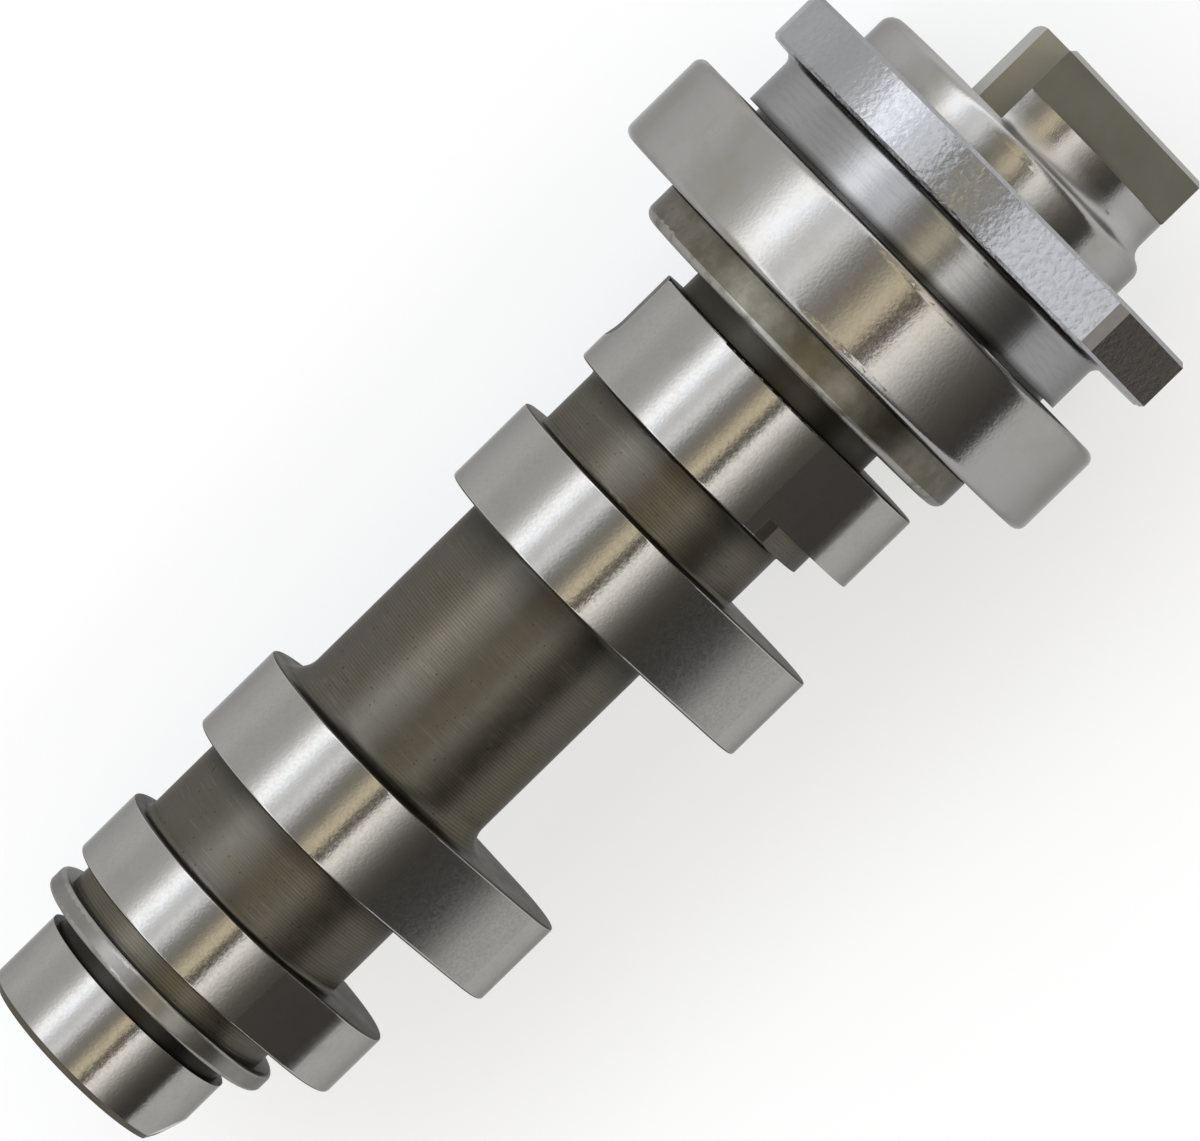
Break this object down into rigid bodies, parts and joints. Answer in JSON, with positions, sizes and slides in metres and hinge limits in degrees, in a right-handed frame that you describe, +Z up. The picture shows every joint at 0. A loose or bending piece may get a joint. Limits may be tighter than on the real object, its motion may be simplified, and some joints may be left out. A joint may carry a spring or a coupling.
{
  "type": "camshaft",
  "caption": "Overhead camshaft with ground lobes, a plain journal, a ball bearing and a pressed drive flange with sprocket ears and a tongue.",
  "frame": {"origin": "on the shaft axis, at the middle of the ball bearing's width", "axes": "+X along the shaft axis towards the driven end with the tongue, +Z up as the part lies on a level surface"},
  "size_m": [0.1187, 0.0483, 0.0472],
  "materials": {
    "shaft_steel": "turned dark skin with ground lobes and journal",
    "cast_steel": "blasted cast skin with milled faces",
    "bearing_steel": "ground",
    "ball_steel": "polished",
    "cage_steel": "pressed sheet"
  },
  "bodies": {
    "shaft": {"camshaft": "shaft_steel", "drive_flange": "cast_steel", "bearing_inner_ring": "bearing_steel"},
    "outer_ring": {"bearing_outer_ring": "bearing_steel"},
    "cage": {"bearing_ball_01": "ball_steel", "bearing_ball_02": "ball_steel", "bearing_ball_03": "ball_steel", "bearing_ball_04": "ball_steel", "bearing_ball_05": "ball_steel", "bearing_ball_06": "ball_steel", "bearing_ball_07": "ball_steel", "bearing_ball_08": "ball_steel", "bearing_ball_09": "ball_steel", "bearing_ball_10": "ball_steel", "bearing_ball_11": "ball_steel", "bearing_ball_12": "ball_steel", "bearing_ball_13": "ball_steel", "bearing_ball_14": "ball_steel", "bearing_cage_left": "cage_steel", "bearing_cage_right": "cage_steel", "bearing_cage_rivets": "cage_steel"}
  },
  "joints": [
    {"name": "outer_ring_spin", "type": "hinge", "parent": "shaft", "child": "outer_ring", "pos_m": [0, 0, 0], "axis": [1, 0, 0], "continuous": true},
    {"name": "cage_spin", "type": "hinge", "parent": "shaft", "child": "cage", "pos_m": [0, 0, 0], "axis": [1, 0, 0], "continuous": true}
  ],
  "couplings": [
    {"joint": "cage_spin", "follows": "outer_ring_spin", "ratio": 0.56182}
  ]
}
